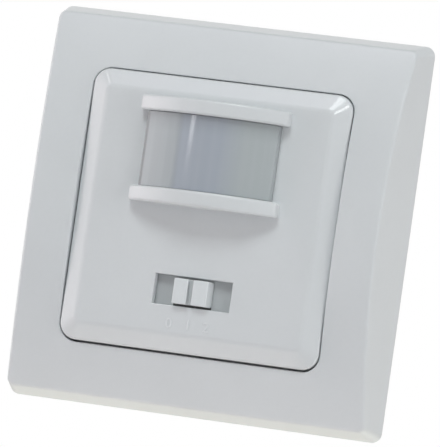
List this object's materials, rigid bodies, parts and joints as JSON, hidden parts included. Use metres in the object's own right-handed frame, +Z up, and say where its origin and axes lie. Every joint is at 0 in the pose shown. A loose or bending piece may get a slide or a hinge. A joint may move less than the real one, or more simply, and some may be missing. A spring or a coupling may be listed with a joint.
{
  "type": "motion sensor light switch",
  "caption": "Square flush wall light switch with a curved infrared motion lens between two visor bars, a mode slider, and a rear box with claws and terminals.",
  "frame": {"origin": "centre of the box-screw slots on the back face of the steel plate, which is the wall surface", "axes": "+X to the right seen from the room, +Y into the wall, +Z up"},
  "size_m": [0.08, 0.0445, 0.08],
  "materials": {
    "white_cover": "satin",
    "lens_film": "milky",
    "dark_plastic": "matte",
    "brown_laminate": "matte",
    "module_plastic": "matte",
    "plated_steel": "zinc plated",
    "sensor_can": "nickel plated",
    "contact_metal": "bright",
    "board_green": "solder mask",
    "small_parts": "matte",
    "photocell": "matte",
    "trimmer_blue": "satin",
    "rotor_white": "matte",
    "relay_blue": "satin",
    "film_yellow": "satin",
    "sleeve_dark": "satin",
    "terminal_green": "matte"
  },
  "bodies": {
    "base": {"cover_frame": "white_cover", "front_cover": "white_cover", "fresnel_lens": "lens_film", "lens_retainer": "dark_plastic", "switch_can": "plated_steel", "switch_base": "brown_laminate", "chassis": "module_plastic", "sensor_board": "board_green", "pir_can": "sensor_can", "pir_window": "dark_plastic", "pir_spacer": "module_plastic", "light_sensor": "photocell", "detector_chip": "dark_plastic", "board_passives": "small_parts", "time_trimmer_body": "trimmer_blue", "lux_trimmer_body": "trimmer_blue", "header_strip": "dark_plastic", "header_pins": "contact_metal", "support_plate": "plated_steel", "assembly_screws": "plated_steel", "rear_housing": "module_plastic", "power_board": "board_green", "relay": "relay_blue", "film_capacitor": "film_yellow", "electrolytic_capacitor": "sleeve_dark", "varistor": "trimmer_blue", "bridge_rectifier": "dark_plastic", "terminal_block": "terminal_green", "contact_bars": "contact_metal"},
    "slider": {"mode_slider": "white_cover", "switch_actuator": "dark_plastic"},
    "time_rotor": {"time_trimmer_rotor": "rotor_white"},
    "lux_rotor": {"lux_trimmer_rotor": "rotor_white"},
    "terminal_screw_1": {"terminal_screw_1": "plated_steel"},
    "terminal_clamp_1": {"terminal_clamp_1": "plated_steel"},
    "terminal_screw_2": {"terminal_screw_2": "plated_steel"},
    "terminal_clamp_2": {"terminal_clamp_2": "plated_steel"},
    "terminal_screw_3": {"terminal_screw_3": "plated_steel"},
    "terminal_clamp_3": {"terminal_clamp_3": "plated_steel"},
    "claw_screw_left": {"claw_screw_left": "plated_steel"},
    "claw_left": {"claw_left": "plated_steel"},
    "claw_screw_right": {"claw_screw_right": "plated_steel"},
    "claw_right": {"claw_right": "plated_steel"}
  },
  "joints": [
    {"name": "mode_slide", "type": "slide", "parent": "base", "child": "slider", "axis": [1, 0, 0], "range_m": [-0.004, 0.004]},
    {"name": "time_turn", "type": "hinge", "parent": "base", "child": "time_rotor", "pos_m": [-0.0124, -0.006, -0.0034], "axis": [0, 1, 0], "range_deg": [-130, 130]},
    {"name": "lux_turn", "type": "hinge", "parent": "base", "child": "lux_rotor", "pos_m": [0.0124, -0.006, -0.0034], "axis": [0, 1, 0], "range_deg": [-130, 130]},
    {"name": "terminal_1_turn", "type": "hinge", "parent": "base", "child": "terminal_screw_1", "pos_m": [-0.0065, 0.016, -0.0144], "axis": [0, -1, 0], "range_deg": [0, 1728]},
    {"name": "terminal_1_lift", "type": "slide", "parent": "base", "child": "terminal_clamp_1", "axis": [0, 1, 0], "range_m": [0, 0.0024]},
    {"name": "terminal_2_turn", "type": "hinge", "parent": "base", "child": "terminal_screw_2", "pos_m": [0, 0.016, -0.0144], "axis": [0, -1, 0], "range_deg": [0, 1728]},
    {"name": "terminal_2_lift", "type": "slide", "parent": "base", "child": "terminal_clamp_2", "axis": [0, 1, 0], "range_m": [0, 0.0024]},
    {"name": "terminal_3_turn", "type": "hinge", "parent": "base", "child": "terminal_screw_3", "pos_m": [0.0065, 0.016, -0.0144], "axis": [0, -1, 0], "range_deg": [0, 1728]},
    {"name": "terminal_3_lift", "type": "slide", "parent": "base", "child": "terminal_clamp_3", "axis": [0, 1, 0], "range_m": [0, 0.0024]},
    {"name": "claw_left_turn", "type": "hinge", "parent": "base", "child": "claw_screw_left", "pos_m": [-0.02254, 0, 0], "axis": [0.2588, 0.9659, 0], "range_deg": [0, 4628]},
    {"name": "claw_left_spread", "type": "slide", "parent": "base", "child": "claw_left", "axis": [-0.2588, -0.9659, 0], "range_m": [0, 0.009]},
    {"name": "claw_right_turn", "type": "hinge", "parent": "base", "child": "claw_screw_right", "pos_m": [0.02254, 0, 0], "axis": [-0.2588, 0.9659, 0], "range_deg": [0, 4628]},
    {"name": "claw_right_spread", "type": "slide", "parent": "base", "child": "claw_right", "axis": [0.2588, -0.9659, 0], "range_m": [0, 0.009]}
  ],
  "couplings": [
    {"joint": "terminal_1_turn", "follows": "terminal_1_lift", "rad_per_m": 12566},
    {"joint": "terminal_2_turn", "follows": "terminal_2_lift", "rad_per_m": 12566},
    {"joint": "terminal_3_turn", "follows": "terminal_3_lift", "rad_per_m": 12566},
    {"joint": "claw_left_turn", "follows": "claw_left_spread", "rad_per_m": 8974.8},
    {"joint": "claw_right_turn", "follows": "claw_right_spread", "rad_per_m": 8974.8}
  ]
}
